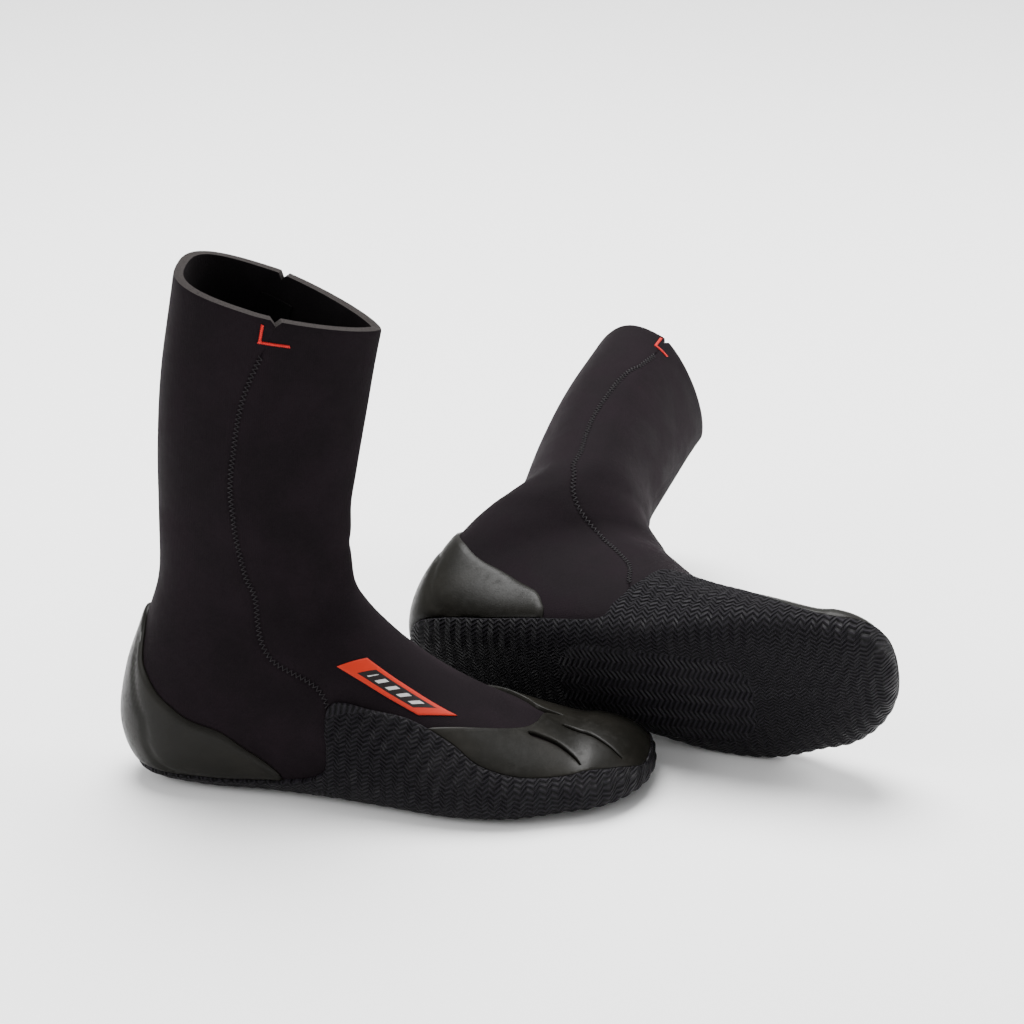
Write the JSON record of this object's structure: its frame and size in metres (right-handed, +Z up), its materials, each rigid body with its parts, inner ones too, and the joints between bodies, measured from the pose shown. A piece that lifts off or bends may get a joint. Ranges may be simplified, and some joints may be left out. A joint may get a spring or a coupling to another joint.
{
  "type": "neoprene boots",
  "caption": "Pair of neoprene surf boots with zigzag-ribbed rubber outsoles, toe caps, heel patches and open shafts: one standing, one laid on its side.",
  "frame": {"origin": "on the floor, under the middle of the bounding box of the pair", "axes": "+X to the right, the way the standing boot points but for 6 degrees; +Y away from the viewer; +Z up"},
  "size_m": [0.4082, 0.3874, 0.2853],
  "materials": {
    "neoprene": "matt jersey-faced foam, near black",
    "lining": "soft pile lining, near black",
    "tape": "glued woven tape, near black",
    "thread": "zigzag stitching, near black",
    "red_thread": "red bar-tack thread",
    "outsole_rubber": "ribbed matt rubber, near black",
    "cap_rubber": "smooth satin rubber, dark olive grey",
    "label": "printed orange-red label"
  },
  "bodies": {
    "right_foot": {"right_front_panel_foot": "neoprene", "right_rear_panel_foot": "neoprene", "right_sole_panel": "neoprene", "right_insole": "lining", "right_outsole": "outsole_rubber", "right_toe_cap": "cap_rubber", "right_heel_patch": "cap_rubber", "right_instep_label": "label"},
    "right_shaft": {"right_front_panel_shaft": "neoprene", "right_rear_panel_shaft": "neoprene", "right_front_panel_ankle": "neoprene", "right_rear_panel_ankle": "neoprene", "right_lateral_stitching": "thread", "right_lateral_seam_tape": "tape", "right_lateral_bar_tack": "red_thread", "right_medial_stitching": "thread", "right_medial_seam_tape": "tape", "right_medial_bar_tack": "red_thread"},
    "left_foot": {"left_front_panel_foot": "neoprene", "left_rear_panel_foot": "neoprene", "left_sole_panel": "neoprene", "left_insole": "lining", "left_outsole": "outsole_rubber", "left_toe_cap": "cap_rubber", "left_heel_patch": "cap_rubber", "left_instep_label": "label"},
    "left_shaft": {"left_front_panel_shaft": "neoprene", "left_rear_panel_shaft": "neoprene", "left_front_panel_ankle": "neoprene", "left_rear_panel_ankle": "neoprene", "left_lateral_stitching": "thread", "left_lateral_seam_tape": "tape", "left_lateral_bar_tack": "red_thread", "left_medial_stitching": "thread", "left_medial_seam_tape": "tape", "left_medial_bar_tack": "red_thread"}
  },
  "joints": [
    {"name": "right_ankle_flex", "type": "hinge", "parent": "right_foot", "child": "right_shaft", "pos_m": [-0.11796, -0.12697, 0.1], "axis": [0.1045, 0.9945, 0], "range_deg": [-15, 30], "stiffness_Nm_per_rad": 2, "deforming": ["right_front_panel_ankle", "right_rear_panel_ankle", "right_lateral_stitching", "right_lateral_seam_tape", "right_medial_stitching", "right_medial_seam_tape"]},
    {"name": "left_boot_slide", "type": "slide", "parent": "right_foot", "child": "left_foot", "axis": [0.342, 0.9397, 0], "range_m": [0, 0.12]},
    {"name": "left_ankle_flex", "type": "hinge", "parent": "left_foot", "child": "left_shaft", "pos_m": [0.04631, -0.00068, 0.07513], "axis": [0.1605, 0.2968, -0.9414], "range_deg": [-12, 30], "stiffness_Nm_per_rad": 2, "deforming": ["left_front_panel_ankle", "left_rear_panel_ankle", "left_lateral_stitching", "left_lateral_seam_tape", "left_medial_stitching", "left_medial_seam_tape"]}
  ]
}
